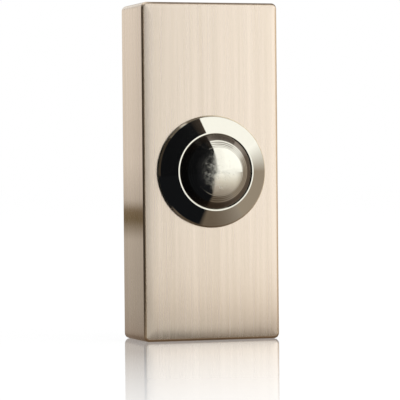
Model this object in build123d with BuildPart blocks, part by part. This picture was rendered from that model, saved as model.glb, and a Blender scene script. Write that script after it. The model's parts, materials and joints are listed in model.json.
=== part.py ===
"""Doorbell push button: a slim metal case with a turned bezel, a sprung button and leaf contacts.

Units are millimetres. The origin is the middle of the back face, on the wall. +Z is up and the
front faces -Y. Heights called "level" are distances in front of the wall, so y = -level.
"""

import os
from math import sqrt

from build123d import *

os.makedirs("parts", exist_ok=True)

# Case
case_height = 76.0
case_width = 32.0
case_depth = 16.0
case_wall = 1.6
case_corner_radius = 1.2
case_edge_radius = 0.5
case_inner_radius = 0.8

# Bezel, outside
flange_side_gap = 3.35
rim_height = 0.65
rim_bevel = 0.35
rim_bevel_rise = 0.5
slope_width = 3.8
lip_height = 3.45
lip_land = 0.3
mouth_chamfer = 0.15

# Bezel, barrel behind the case front
barrel_wall = 1.55
barrel_clearance = 0.15
barrel_land = 0.35
bore_length = 3.55

# Button
button_clearance = 0.15
button_wall = 1.6
crown_height = 3.5
crown_radius = 12.6
crown_thickness = 4.2
crown_inset = 2.7
shoulder_inset = 1.25
shoulder_height = 1.05
skirt_drop = 0.25
collar_reach = 1.0
collar_thickness = 1.2
collar_clearance = 0.2
press_travel = 2.0
stop_gap = 0.1

# Guide disc and its retaining ring
guide_thickness = 1.4
guide_clearance = 0.1
guide_ring_height = 0.8
guide_ring_gap = 0.35
ring_thickness = 1.2
ring_width = 2.0
ring_slot_width = 1.4
ring_slot_depth = 0.6

# Plunger and return spring
plunger_radius = 2.0
plunger_clearance = 0.12
plunger_head_gap = 0.4
plunger_head_thickness = 1.2
plunger_spigot_radius = 1.5
plunger_spigot_length = 2.0
plunger_gap = 0.1
spring_side_gap = 0.8
spring_wire = 0.6
spring_turns = 3.0
spring_wire_sides = 4

# Ring nut and lock washer
nut_wall = 2.0
nut_thickness = 3.0
nut_slot_width = 3.0
nut_slot_share = 0.5
nut_slots = 4
washer_thickness = 0.5
washer_edge = 0.3
washer_notch_width = 1.2
washer_notch_depth = 0.7
washer_notches = 8

# Base plate
plate_thickness = 2.2
plate_gap = 0.2
plate_corner_radius = 0.8
plate_rim_wall = 1.2
plate_rim_height = 3.0
platform_height = 0.4
platform_width = 6.5
platform_end = 4.5
wall_hole_radius = 2.2
wall_hole_margin = 11.0
wall_hole_ring = 2.0
wall_hole_ring_height = 1.0
cable_hole_radius = 3.5
cable_hole_gap = 0.6

# Hook at the top and cover screw at the bottom
hook_width = 10.0
hook_thickness = 1.2
hook_reach = 0.8
hook_level = 4.0
hook_clearance = 0.2
cover_screw_level = 6.0
cover_screw_radius = 1.25
cover_screw_clearance = 0.15
cover_screw_length = 6.0
cover_head_radius = 2.3
cover_head_recess = 0.1
cover_slot_width = 0.6
cover_slot_depth = 0.5
insert_wall = 0.75
insert_length = 4.6
insert_boss_wall = 1.6

# Contacts
contact_width = 6.0
leaf_thickness = 0.3
leaf_tip_width = 4.4
leaf_tip_reach = 3.6
point_radius = 1.5
point_flat = 0.7
point_height = 0.4
strip_thickness = 0.5
strip_bend_radius = 1.2
strip_ramp = 4.0
contact_edge = 0.6
rivet_radius = 1.5
rivet_height = 0.4
rivet_shank_radius = 0.8

# Terminals
terminal_gap = 0.6
terminal_boss = 8.0
terminal_screw_radius = 1.5
terminal_screw_clearance = 0.15
terminal_head_radius = 2.75
terminal_head_height = 1.9
terminal_slot_width = 0.7
terminal_slot_depth = 0.9
terminal_tip_level = 0.4
clamp_side = 7.0
clamp_thickness = 0.9
nut_side = 5.5
nut_height = 1.8
nut_recess = 0.2
nut_clearance = 0.1

# Levels of the push unit, from the lip inwards
lip_level = case_depth + lip_height
mouth_level = lip_level - mouth_chamfer
collar_front = mouth_level - bore_length
collar_rear = collar_front - collar_thickness
guide_front = collar_rear - press_travel - stop_gap
guide_rear = guide_front - guide_thickness
ring_rear = guide_rear - ring_thickness
barrel_end = ring_rear - barrel_land

# Radii of the push unit: from the case's width in to the button, then out to the nut
flange_radius = case_width / 2 - flange_side_gap
lip_radius = flange_radius - slope_width
bore_radius = lip_radius - lip_land - mouth_chamfer
button_radius = bore_radius - button_clearance
collar_radius = button_radius + collar_reach
counterbore_radius = collar_radius + collar_clearance
barrel_radius = counterbore_radius + barrel_wall
case_hole_radius = barrel_radius + barrel_clearance
nut_radius = barrel_radius + nut_wall
nut_front = case_depth - case_wall - washer_thickness

# Button: a shallow ball crown, a sloping shoulder and a steep flank that drops to the skirt
crown_level = lip_level + crown_height
crown_edge_radius = button_radius - crown_inset
crown_centre_level = crown_level - crown_radius
crown_edge_level = crown_centre_level + sqrt(crown_radius**2 - crown_edge_radius**2)
shoulder_radius = button_radius - shoulder_inset
shoulder_level = lip_level + shoulder_height
skirt_level = lip_level - skirt_drop
cavity_radius = button_radius - button_wall
cavity_level = crown_level - crown_thickness
spring_radius = cavity_radius - spring_side_gap - spring_wire / 2
spring_inner_radius = spring_radius - spring_wire / 2
plunger_head_radius = spring_inner_radius - plunger_head_gap

# Levels of the contacts, from the wall outwards
strip_rear = plate_thickness + platform_height
strip_front = strip_rear + strip_thickness
rivet_front = strip_front + rivet_height
leaf_rear = rivet_front + press_travel - plunger_gap + point_height
leaf_front = leaf_rear + leaf_thickness
clamp_front = leaf_front + clamp_thickness
plunger_tip = leaf_front + plunger_gap

# Places on the base plate
inner_width = case_width - 2 * case_wall
inner_height = case_height - 2 * case_wall
plate_width = inner_width - 2 * plate_gap
plate_height = inner_height - 2 * plate_gap
terminal_z = nut_radius + terminal_gap + terminal_boss / 2
terminal_spacing = 2 * terminal_z
wall_hole_spacing = case_height - 2 * wall_hole_margin
cable_hole_x = -(plate_width / 2 - plate_rim_wall - cable_hole_gap - cable_hole_radius)
insert_radius = cover_screw_radius + insert_wall
nut_pocket_depth = nut_recess + nut_height

# Planes: the half section (radius, level), the side view (level, z), and the ends
section_plane = Plane((0, 0, 0), x_dir=(1, 0, 0), z_dir=(0, 0, -1))
side_plane = Plane((0, 0, 0), x_dir=(0, -1, 0), z_dir=(-1, 0, 0))
bottom_plane = Plane((0, -cover_screw_level, -case_height / 2), x_dir=(1, 0, 0), z_dir=(0, 0, -1))
insert_plane = Plane((0, -cover_screw_level, -plate_height / 2), x_dir=(1, 0, 0), z_dir=(0, 0, 1))
screw_axis = Axis((0, -cover_screw_level, 0), (0, 0, 1))
screw_plane = Plane((0, -cover_screw_level, -case_height / 2), x_dir=(1, 0, 0), z_dir=(0, -1, 0))


def level_plane(level):
    """The plane parallel to the wall at this level, looking out to the front."""
    return Plane.XZ.offset(level)


# Case: a die-cast box, open at the back
with BuildPart() as case:
    with BuildSketch(level_plane(0)):
        Rectangle(case_width, case_height)
    extrude(amount=case_depth)
    fillet(case.edges().filter_by(Axis.Y), case_corner_radius)
    fillet(case.faces().sort_by(Axis.Y)[0].edges(), case_edge_radius)
    with BuildSketch(level_plane(0)):
        RectangleRounded(inner_width, inner_height, case_inner_radius)
    extrude(amount=case_depth - case_wall, mode=Mode.SUBTRACT)
    with BuildSketch(level_plane(case_depth)):
        Circle(case_hole_radius)
    extrude(amount=-case_wall, mode=Mode.SUBTRACT)
    # Pocket in the top wall for the hook
    with BuildSketch(level_plane(hook_level - hook_thickness / 2 - hook_clearance)):
        with Locations((0, inner_height / 2)):
            Rectangle(
                hook_width + 2 * hook_clearance,
                2 * (hook_reach - plate_gap + hook_clearance),
            )
    extrude(amount=hook_thickness + 2 * hook_clearance, mode=Mode.SUBTRACT)
    # Countersunk hole in the bottom wall for the cover screw
    with Locations(bottom_plane):
        CounterSinkHole(
            radius=cover_screw_radius + cover_screw_clearance,
            counter_sink_radius=cover_head_radius + cover_head_recess,
            depth=case_wall,
            counter_sink_angle=90,
        )
case.part.label = "case"
export_step(case.part, "parts/case.step")

# Bezel: turned flange, sloping face, thin lip and a stepped barrel
with BuildPart() as bezel:
    with BuildSketch(section_plane):
        with BuildLine():
            Polyline(
                (lip_radius - lip_land, lip_level),
                (lip_radius, lip_level),
                (flange_radius - rim_bevel, case_depth + rim_height + rim_bevel_rise),
                (flange_radius, case_depth + rim_height),
                (flange_radius, case_depth),
                (barrel_radius, case_depth),
                (barrel_radius, barrel_end),
                (counterbore_radius, barrel_end),
                (counterbore_radius, collar_front),
                (bore_radius, collar_front),
                (bore_radius, mouth_level),
                close=True,
            )
        make_face()
    revolve(axis=Axis.Y)
bezel.part.label = "bezel"
export_step(bezel.part, "parts/bezel.step")

# Lock washer: a notched ring between the case front and the nut
with BuildPart() as lock_washer:
    with BuildSketch(level_plane(nut_front)):
        Circle(nut_radius - washer_edge)
        Circle(case_hole_radius, mode=Mode.SUBTRACT)
        with PolarLocations(nut_radius - washer_edge, washer_notches):
            Rectangle(2 * washer_notch_depth, washer_notch_width, mode=Mode.SUBTRACT)
    extrude(amount=washer_thickness)
lock_washer.part.label = "lock_washer"
export_step(lock_washer.part, "parts/lock_washer.step")

# Ring nut: holds the bezel in the case, with slots for a pin spanner
with BuildPart() as ring_nut:
    with BuildSketch(level_plane(nut_front - nut_thickness)):
        Circle(nut_radius)
        Circle(barrel_radius, mode=Mode.SUBTRACT)
        with PolarLocations(nut_radius, nut_slots, start_angle=45):
            Rectangle(
                2 * nut_slot_share * (nut_radius - barrel_radius),
                nut_slot_width,
                mode=Mode.SUBTRACT,
            )
    extrude(amount=nut_thickness)
ring_nut.part.label = "ring_nut"
export_step(ring_nut.part, "parts/ring_nut.step")

# Button: a turned cap with a shallow crown, a shoulder, a steep flank and a collar that stops it
with BuildPart() as button:
    with BuildSketch(section_plane):
        with BuildLine():
            TangentArc((0, crown_level), (crown_edge_radius, crown_edge_level), tangent=(1, 0))
            Polyline(
                (crown_edge_radius, crown_edge_level),
                (shoulder_radius, shoulder_level),
                (button_radius, skirt_level),
                (button_radius, collar_front),
                (collar_radius, collar_front),
                (collar_radius, collar_rear),
                (cavity_radius, collar_rear),
                (cavity_radius, cavity_level),
                (plunger_spigot_radius, cavity_level),
                (plunger_spigot_radius, cavity_level + plunger_spigot_length),
                (0, cavity_level + plunger_spigot_length),
                (0, crown_level),
            )
        make_face()
    revolve(axis=Axis.Y)
button.part.label = "button"
export_step(button.part, "parts/button.step")

# Plunger: an insulating pin pressed into the button, which bends the leaf contact
with BuildPart() as plunger:
    with BuildSketch(section_plane):
        with BuildLine():
            Polyline(
                (0, cavity_level + plunger_spigot_length),
                (plunger_spigot_radius, cavity_level + plunger_spigot_length),
                (plunger_spigot_radius, cavity_level),
                (plunger_head_radius, cavity_level),
                (plunger_head_radius, cavity_level - plunger_head_thickness),
                (plunger_radius, cavity_level - plunger_head_thickness),
                (plunger_radius, plunger_tip),
                (0, plunger_tip),
                close=True,
            )
        make_face()
    revolve(axis=Axis.Y)
plunger.part.label = "plunger"
export_step(plunger.part, "parts/plunger.step")

# Guide disc: closes the barrel, guides the plunger and carries the spring
with BuildPart() as guide_disc:
    with BuildSketch(level_plane(guide_rear)):
        Circle(counterbore_radius - guide_clearance)
    extrude(amount=guide_thickness)
    with BuildSketch(level_plane(guide_front)):
        Circle(spring_inner_radius - guide_ring_gap)
    extrude(amount=guide_ring_height)
    with BuildSketch(level_plane(guide_rear)):
        Circle(plunger_radius + plunger_clearance)
    extrude(amount=guide_thickness + guide_ring_height, mode=Mode.SUBTRACT)
guide_disc.part.label = "guide_disc"
export_step(guide_disc.part, "parts/guide_disc.step")

# Retaining ring: screwed into the barrel behind the guide disc, with two slots for a driver
with BuildPart() as retaining_ring:
    with BuildSketch(level_plane(ring_rear)):
        Circle(counterbore_radius)
        Circle(counterbore_radius - ring_width, mode=Mode.SUBTRACT)
    extrude(amount=ring_thickness)
    with BuildSketch(level_plane(ring_rear)):
        Rectangle(2 * counterbore_radius, ring_slot_width)
    extrude(amount=ring_slot_depth, mode=Mode.SUBTRACT)
retaining_ring.part.label = "retaining_ring"
export_step(retaining_ring.part, "parts/retaining_ring.step")

# Return spring: a coil between the guide disc and the roof of the button's cavity
spring_height = cavity_level - guide_front - spring_wire
with BuildPart() as return_spring:
    with BuildLine() as coil:
        Helix(
            pitch=spring_height / spring_turns,
            height=spring_height,
            radius=spring_radius,
            center=(0, -guide_front - spring_wire / 2, 0),
            direction=(0, -1, 0),
        )
    with BuildSketch(Plane(origin=coil.line @ 0, z_dir=coil.line % 0)):
        RegularPolygon(spring_wire / 2, spring_wire_sides)
    sweep(path=coil.line, is_frenet=True)
return_spring.part.label = "return_spring"
export_step(return_spring.part, "parts/return_spring.step")

# Base plate: a moulding with a rim, terminal bosses, a contact platform and the cover's fixings
insert_boss_width = 2 * (insert_radius + insert_boss_wall)
insert_boss_length = insert_length + insert_boss_wall
with BuildPart() as base_plate:
    with BuildSketch(level_plane(0)):
        RectangleRounded(plate_width, plate_height, plate_corner_radius)
    extrude(amount=plate_thickness)
    with BuildSketch(level_plane(plate_thickness)):
        RectangleRounded(plate_width, plate_height, plate_corner_radius)
        Rectangle(plate_width - 2 * plate_rim_wall, plate_height - 2 * plate_rim_wall, mode=Mode.SUBTRACT)
    extrude(amount=plate_rim_height)
    # Boss under the leaf and boss under the strip
    with BuildSketch(level_plane(0)):
        with Locations((0, terminal_z)):
            Rectangle(terminal_boss, terminal_boss)
    extrude(amount=leaf_rear)
    with BuildSketch(level_plane(0)):
        with Locations((0, -terminal_z)):
            Rectangle(terminal_boss, terminal_boss)
    extrude(amount=leaf_front - strip_thickness)
    # Platform under the strip's contact end
    platform_start = -(terminal_z - terminal_boss / 2) + strip_ramp
    with BuildSketch(level_plane(0)):
        with Locations((0, (platform_start + platform_end) / 2)):
            Rectangle(platform_width, platform_end - platform_start)
    extrude(amount=strip_rear)
    # Rings round the wall screw holes
    with BuildSketch(level_plane(plate_thickness)):
        with GridLocations(0, wall_hole_spacing, 1, 2):
            Circle(wall_hole_radius + wall_hole_ring)
    extrude(amount=wall_hole_ring_height)
    # Boss for the cover screw's insert
    with BuildSketch(level_plane(0)):
        with Locations((0, (insert_boss_length - plate_height) / 2)):
            Rectangle(insert_boss_width, insert_boss_length)
    extrude(amount=cover_screw_level + insert_boss_width / 2)
    # Hook on the top edge
    with BuildSketch(level_plane(hook_level - hook_thickness / 2)):
        with Locations((0, plate_height / 2)):
            Rectangle(hook_width, 2 * hook_reach)
    extrude(amount=hook_thickness)
    # Holes
    with BuildSketch(level_plane(0)):
        with GridLocations(0, wall_hole_spacing, 1, 2):
            Circle(wall_hole_radius)
        with Locations((cable_hole_x, 0)):
            Circle(cable_hole_radius)
    extrude(amount=plate_thickness + wall_hole_ring_height, mode=Mode.SUBTRACT)
    with BuildSketch(level_plane(0)):
        with GridLocations(0, terminal_spacing, 1, 2):
            Circle(terminal_screw_radius + terminal_screw_clearance)
    extrude(amount=leaf_front, mode=Mode.SUBTRACT)
    with BuildSketch(level_plane(0)):
        with GridLocations(0, terminal_spacing, 1, 2):
            Rectangle(nut_side + 2 * nut_clearance, nut_side + 2 * nut_clearance)
    extrude(amount=nut_pocket_depth, mode=Mode.SUBTRACT)
    with BuildSketch(insert_plane):
        Circle(insert_radius)
    extrude(amount=insert_length, mode=Mode.SUBTRACT)
base_plate.part.label = "base_plate"
export_step(base_plate.part, "parts/base_plate.step")

# Leaf contact: a thin bronze spring strip with a contact point
leaf_top = terminal_z + terminal_boss / 2 - contact_edge
with BuildPart() as leaf_contact:
    with BuildSketch(level_plane(leaf_rear)):
        with BuildLine():
            Polyline(
                (-contact_width / 2, leaf_top),
                (-contact_width / 2, terminal_z - terminal_boss / 2),
                (-leaf_tip_width / 2, -leaf_tip_reach),
                (leaf_tip_width / 2, -leaf_tip_reach),
                (contact_width / 2, terminal_z - terminal_boss / 2),
                (contact_width / 2, leaf_top),
                close=True,
            )
        make_face()
        with Locations((0, terminal_z)):
            Circle(terminal_screw_radius + terminal_screw_clearance, mode=Mode.SUBTRACT)
    extrude(amount=leaf_thickness)
    with BuildSketch(section_plane):
        with BuildLine():
            Polyline(
                (0, leaf_rear - point_height),
                (point_flat, leaf_rear - point_height),
                (point_radius, leaf_rear),
                (0, leaf_rear),
                close=True,
            )
        make_face()
    revolve(axis=Axis.Y)
leaf_contact.part.label = "leaf_contact"
export_step(leaf_contact.part, "parts/leaf_contact.step")

# Fixed contact: a brass strip bent down from its terminal to the platform
strip_end = platform_end - contact_edge
strip_bend_top = -(terminal_z - terminal_boss / 2) + contact_edge
with BuildPart() as fixed_contact:
    with BuildSketch(side_plane):
        with BuildLine():
            FilletPolyline(
                (leaf_front - strip_thickness / 2, -leaf_top),
                (leaf_front - strip_thickness / 2, strip_bend_top),
                (strip_front - strip_thickness / 2, strip_bend_top + strip_ramp),
                (strip_front - strip_thickness / 2, strip_end),
                radius=strip_bend_radius,
            )
        trace(line_width=strip_thickness)
    extrude(amount=contact_width / 2, both=True)
    with BuildSketch(level_plane(leaf_front - strip_thickness)):
        with Locations((0, -terminal_z)):
            Circle(terminal_screw_radius + terminal_screw_clearance)
    extrude(amount=strip_thickness, mode=Mode.SUBTRACT)
    with BuildSketch(level_plane(strip_rear)):
        Circle(rivet_shank_radius)
    extrude(amount=strip_thickness, mode=Mode.SUBTRACT)
fixed_contact.part.label = "fixed_contact"
export_step(fixed_contact.part, "parts/fixed_contact.step")

# Contact rivet: the silver contact under the leaf's point
with BuildPart() as contact_rivet:
    with BuildSketch(level_plane(strip_rear)):
        Circle(rivet_shank_radius)
    extrude(amount=strip_thickness)
    with BuildSketch(level_plane(strip_front)):
        Circle(rivet_radius)
    extrude(amount=rivet_height)
contact_rivet.part.label = "contact_rivet"
export_step(contact_rivet.part, "parts/contact_rivet.step")

# Clamp plates: hold the wires under the terminal screws
with BuildPart() as clamp_plates:
    with BuildSketch(level_plane(leaf_front)):
        with GridLocations(0, terminal_spacing, 1, 2):
            Rectangle(clamp_side, clamp_side)
            Circle(terminal_screw_radius + terminal_screw_clearance, mode=Mode.SUBTRACT)
    extrude(amount=clamp_thickness)
clamp_plates.part.label = "clamp_plates"
export_step(clamp_plates.part, "parts/clamp_plates.step")

# Terminal screws: slotted pan heads
with BuildPart() as terminal_screws:
    with BuildSketch(level_plane(terminal_tip_level)):
        with GridLocations(0, terminal_spacing, 1, 2):
            Circle(terminal_screw_radius)
    extrude(amount=clamp_front - terminal_tip_level)
    with BuildSketch(level_plane(clamp_front)):
        with GridLocations(0, terminal_spacing, 1, 2):
            Circle(terminal_head_radius)
    extrude(amount=terminal_head_height)
    with BuildSketch(level_plane(clamp_front + terminal_head_height)):
        with GridLocations(0, terminal_spacing, 1, 2):
            Rectangle(2 * terminal_head_radius, terminal_slot_width)
    extrude(amount=-terminal_slot_depth, mode=Mode.SUBTRACT)
terminal_screws.part.label = "terminal_screws"
export_step(terminal_screws.part, "parts/terminal_screws.step")

# Terminal nuts: square, captive in the back of the base plate
with BuildPart() as terminal_nuts:
    with BuildSketch(level_plane(nut_recess)):
        with GridLocations(0, terminal_spacing, 1, 2):
            Rectangle(nut_side, nut_side)
            Circle(terminal_screw_radius, mode=Mode.SUBTRACT)
    extrude(amount=nut_height)
terminal_nuts.part.label = "terminal_nuts"
export_step(terminal_nuts.part, "parts/terminal_nuts.step")

# Cover insert: a brass bush moulded into the base plate
with BuildPart() as cover_insert:
    with BuildSketch(insert_plane):
        Circle(insert_radius)
        Circle(cover_screw_radius, mode=Mode.SUBTRACT)
    extrude(amount=insert_length)
cover_insert.part.label = "cover_insert"
export_step(cover_insert.part, "parts/cover_insert.step")

# Cover screw: a small countersunk screw through the bottom wall
head_depth = cover_head_radius - cover_screw_radius
with BuildPart() as cover_screw:
    with BuildSketch(screw_plane):
        with BuildLine():
            Polyline(
                (0, cover_head_recess),
                (cover_head_radius, cover_head_recess),
                (cover_screw_radius, cover_head_recess + head_depth),
                (cover_screw_radius, cover_screw_length),
                (0, cover_screw_length),
                close=True,
            )
        make_face()
    revolve(axis=screw_axis)
    with BuildSketch(screw_plane):
        Rectangle(2 * cover_head_radius, 2 * (cover_head_recess + cover_slot_depth))
    extrude(amount=cover_slot_width / 2, both=True, mode=Mode.SUBTRACT)
cover_screw.part.label = "cover_screw"
export_step(cover_screw.part, "parts/cover_screw.step")
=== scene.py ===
import json
import math

import bpy
import numpy as np
from mathutils import Matrix, Vector


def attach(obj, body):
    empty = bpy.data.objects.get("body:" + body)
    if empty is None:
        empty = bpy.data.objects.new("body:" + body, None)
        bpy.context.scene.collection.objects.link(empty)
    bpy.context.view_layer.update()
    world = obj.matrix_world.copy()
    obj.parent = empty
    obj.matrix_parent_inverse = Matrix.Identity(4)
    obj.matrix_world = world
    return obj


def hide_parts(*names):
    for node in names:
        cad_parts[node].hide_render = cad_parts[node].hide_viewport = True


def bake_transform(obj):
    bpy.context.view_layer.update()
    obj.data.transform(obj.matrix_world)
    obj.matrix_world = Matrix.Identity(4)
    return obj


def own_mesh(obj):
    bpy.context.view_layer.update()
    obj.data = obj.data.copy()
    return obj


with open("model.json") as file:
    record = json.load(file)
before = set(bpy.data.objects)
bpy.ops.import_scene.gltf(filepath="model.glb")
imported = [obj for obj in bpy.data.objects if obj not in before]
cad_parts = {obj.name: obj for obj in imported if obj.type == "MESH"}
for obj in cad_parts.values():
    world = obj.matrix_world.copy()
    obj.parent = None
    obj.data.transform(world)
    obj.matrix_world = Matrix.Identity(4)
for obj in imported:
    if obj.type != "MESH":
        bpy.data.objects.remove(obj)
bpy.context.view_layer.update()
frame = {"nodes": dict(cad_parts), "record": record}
mm = 0.001
hair = 0.03  # mm between an edge and the row beside it, which keeps a flat side flat when shaded
touch = 0.001  # mm within which a point counts as lying on a face
tiny = 1e-6
print("frame loaded:", len(frame["nodes"]), "nodes")


def unit(vectors):
    return vectors / np.linalg.norm(vectors, axis=-1, keepdims=True)


# quads between neighbouring rows and columns of a grid, joined round where asked
def gridQuads(rows, columns, wrapRows=False, wrapColumns=False):
    index = np.arange(rows * columns).reshape(rows, columns)
    if wrapColumns:
        index = np.hstack([index, index[:, :1]])
    if wrapRows:
        index = np.vstack([index, index[:1]])
    return np.stack([index[:-1, :-1], index[:-1, 1:], index[1:, 1:], index[1:, :-1]], -1).reshape(-1, 4)


# a skin over rows of loops, in mm: the rows close into a ring, or run from one pole point to another;
# six times the volume is the sum of a . (b x c) over the triangles, and a negative one turns the faces
# round; a mark has one value for each row or each point, and a pole takes the first value of its end row
def skinLoops(name, loops, material, poles=None, sharpAngle=32.0, marks=None):
    rows, columns = loops.shape[:2]
    points = loops.reshape(-1, 3)
    quads = gridQuads(rows, columns, wrapRows=poles is None, wrapColumns=True)
    caps = np.zeros((0, 3), int)
    if poles is not None:
        points = np.vstack([points, poles])
        here = np.arange(columns)
        there = np.roll(here, -1)
        last = (rows - 1) * columns
        first, end = (np.full(columns, rows * columns + pole) for pole in range(2))
        caps = np.vstack([np.stack([first, there, here], 1), np.stack([last + here, last + there, end], 1)])
    split = np.vstack([quads[:, [0, 1, 2]], quads[:, [0, 2, 3]], caps])
    a, b, c = (points[split[:, corner]] for corner in range(3))
    if (a * np.cross(b, c)).sum() < 0:
        quads, caps = quads[:, ::-1], caps[:, ::-1]
    mesh = bpy.data.meshes.new(name)
    mesh.from_pydata((points * mm).tolist(), [], quads.tolist() + caps.tolist())
    mesh.polygons.foreach_set("use_smooth", np.ones(len(mesh.polygons), bool))
    mesh.set_sharp_from_angle(angle=math.radians(sharpAngle))
    mesh.materials.append(material)
    for mark, values in (marks or {}).items():
        spread = np.broadcast_to(values.reshape(rows, -1), (rows, columns))
        spread = np.concatenate([spread.ravel(), spread[[0, -1], 0] if poles is not None else []])
        mesh.attributes.new(mark, "FLOAT", "POINT").data.foreach_set("value", spread.astype(np.float32))
    piece = bpy.data.objects.new(name, mesh)
    bpy.context.scene.collection.objects.link(piece)
    return piece


# rounds the corners (first, second, radius) of an outline: the arc starts radius / tan(half angle) from the
# corner and is swept in equal steps; a point just outside each of its ends keeps the flats flat when shaded
def roundedOutline(corners, closed=True, steps=6, support=hair):
    corners = np.array(corners, float)
    spots, radius = corners[:, :2], corners[:, 2]
    back, ahead = unit(np.roll(spots, 1, 0) - spots), unit(np.roll(spots, -1, 0) - spots)
    half = np.arccos(np.clip((back * ahead).sum(1), -1, 1)) / 2
    reach = (radius / np.tan(half))[:, None]
    centre = spots + unit(back + ahead) * (radius / np.sin(half))[:, None]
    start, end = spots + back * reach - centre, spots + ahead * reach - centre
    startTurn, endTurn = np.arctan2(start[:, 1], start[:, 0]), np.arctan2(end[:, 1], end[:, 0])
    sweep = (endTurn - startTurn + np.pi) % (2 * np.pi) - np.pi
    turn = startTurn[:, None] + sweep[:, None] * np.linspace(0, 1, steps + 1)
    arc = centre[:, None] + radius[:, None, None] * np.stack([np.cos(turn), np.sin(turn)], -1)
    before, after = start + centre + back * support, end + centre + ahead * support
    rounded = np.concatenate([before[:, None], arc, after[:, None]], 1)
    if closed:
        return rounded.reshape(-1, 2)
    return np.vstack([spots[:1], rounded[1:-1].reshape(-1, 2), spots[-1:]])


# splits each long step of an outline into equal shorter ones, no longer than the given length
def divided(outline, longest, closed=True):
    ends = np.roll(outline, -1, 0) if closed else outline[1:]
    starts = outline if closed else outline[:-1]
    count = np.maximum(np.ceil(np.linalg.norm(ends - starts, axis=1) / longest).astype(int), 1)
    which = np.repeat(np.arange(len(starts)), count)
    share = (np.arange(count.sum()) - np.repeat(np.cumsum(count) - count, count)) / count[which]
    out = starts[which] + (ends - starts)[which] * share[:, None]
    return out if closed else np.vstack([out, outline[-1:]])


def turnAngles(segments):
    return np.arange(segments) * 2 * np.pi / segments


# a section (radius, level) turned about the button's axis: x = r cos, y = -level, z = r sin
def turnedLoops(section, segments, ripple=0.0):
    turn = turnAngles(segments)
    radius, level = np.repeat(section[:, :1], segments, 1) + ripple, np.repeat(section[:, 1:], segments, 1)
    return np.stack([radius * np.cos(turn), -level, radius * np.sin(turn)], -1)


# the place of each face corner, and the face that owns it
def cornerSpots(mesh):
    corner = np.zeros(len(mesh.loops), int)
    mesh.loops.foreach_get("vertex_index", corner)
    spot = np.zeros(len(mesh.vertices) * 3)
    mesh.vertices.foreach_get("co", spot)
    size = np.zeros(len(mesh.polygons), int)
    mesh.polygons.foreach_get("loop_total", size)
    return spot.reshape(-1, 3)[corner], np.repeat(np.arange(len(size)), size)


# own coordinates of a turned piece: u is the distance from the axis, v the turn, counted on from the first
# corner of each face
def turnedCoordinates(piece, unitsPerMetre=50.0):
    spot, owner = cornerSpots(piece.data)
    turn = np.arctan2(spot[:, 2], spot[:, 0]) / (2 * np.pi)
    first = turn[np.unique(owner, return_index=True)[1]][owner]
    turn = first + (turn - first + 0.5) % 1.0 - 0.5
    flat = np.column_stack([np.hypot(spot[:, 0], spot[:, 2]) * unitsPerMetre, turn])
    piece.data.uv_layers.new(name="turned").data.foreach_set("uv", flat.ravel())


# fills a node's inputs, each with a plain value or with a link from a socket; colours come without alpha
def feed(tree, node, inputs):
    for key, value in inputs.items():
        socket = node.inputs[key]
        if isinstance(value, bpy.types.NodeSocket):
            tree.links.new(value, socket)
        elif socket.type == "RGBA":
            socket.default_value = (*value, 1)
        else:
            socket.default_value = value


def addNode(tree, kind, inputs=None, **settings):
    node = tree.nodes.new("ShaderNode" + kind)
    for key, value in settings.items():
        setattr(node, key, value)
    feed(tree, node, inputs or {})
    return node


# a number worked out from others
def worked(tree, operation, *values):
    return addNode(tree, "Math", dict(enumerate(values)), operation=operation).outputs["Value"]


def multiplied(tree, shares):
    product = shares[0]
    for share in shares[1:]:
        product = worked(tree, "MULTIPLY", product, share)
    return product


# carries a span of values over to another one, and holds the ends
def remap(tree, source, span, target=(0.0, 1.0)):
    limits = {"From Min": span[0], "From Max": span[1], "To Min": target[0], "To Max": target[1]}
    return addNode(tree, "MapRange", {"Value": source, **limits}).outputs["Result"]


def mixNumbers(tree, share, first, second):
    return addNode(tree, "Mix", {"Factor": share, "A": first, "B": second}).outputs["Result"]


def mixTones(tree, share, first, second, blend="MIX"):
    tones = {"Factor": share, "A": first, "B": second}
    return addNode(tree, "Mix", tones, data_type="RGBA", blend_type=blend).outputs["Result"]


# colour by a share, from tones given with their places between 0 and 1
def toneRamp(tree, share, tones):
    ramp = addNode(tree, "ValToRGB", {"Fac": share})
    elements = ramp.color_ramp.elements
    while len(elements) < len(tones):
        elements.new(0.5)
    for element, (place, tone) in zip(elements, tones):
        element.position, element.color = place, (*tone, 1)
    return ramp.outputs["Color"]


def objectPlace(tree):
    return addNode(tree, "TexCoord").outputs["Object"]


def objectAxes(tree):
    return addNode(tree, "SeparateXYZ", {"Vector": objectPlace(tree)}).outputs


# length of the object coordinates after they are shifted, or scaled axis by axis
def placeLength(tree, operation, by):
    moved = addNode(tree, "VectorMath", {0: objectPlace(tree), 1: by}, operation=operation)
    return addNode(tree, "VectorMath", {0: moved.outputs["Vector"]}, operation="LENGTH").outputs["Value"]


# noise drawn out along the axis that has the small figure; the figures are waves per metre, or per unit of
# the named UV layer
def streaks(tree, waves, detail=3.0, roughness=0.55, layer=None):
    place = addNode(tree, "UVMap", uv_map=layer).outputs["UV"] if layer else objectPlace(tree)
    stretched = addNode(tree, "Mapping", {"Vector": place, "Scale": waves}).outputs["Vector"]
    noise = {"Vector": stretched, "Scale": 1.0, "Detail": detail, "Roughness": roughness}
    return addNode(tree, "TexNoise", noise).outputs["Fac"]


# noise that depends only on the distance from the button's axis, as a lathe tool leaves it
def turningLines(tree, waves, detail=2.0):
    distance = placeLength(tree, "MULTIPLY", (1.0, 0.0, 1.0))
    noise = {"W": distance, "Scale": waves, "Detail": detail}
    return addNode(tree, "TexNoise", noise, noise_dimensions="1D").outputs["Fac"]


# a value stored at the points of the mesh
def attribute(tree, name):
    return addNode(tree, "Attribute", attribute_name=name).outputs["Fac"]


# the direction of a UV layer's u, along which the gloss is narrow or wide
def tangent(tree, layer):
    return addNode(tree, "Tangent", direction_type="UV_MAP", uv_map=layer).outputs["Tangent"]


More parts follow.
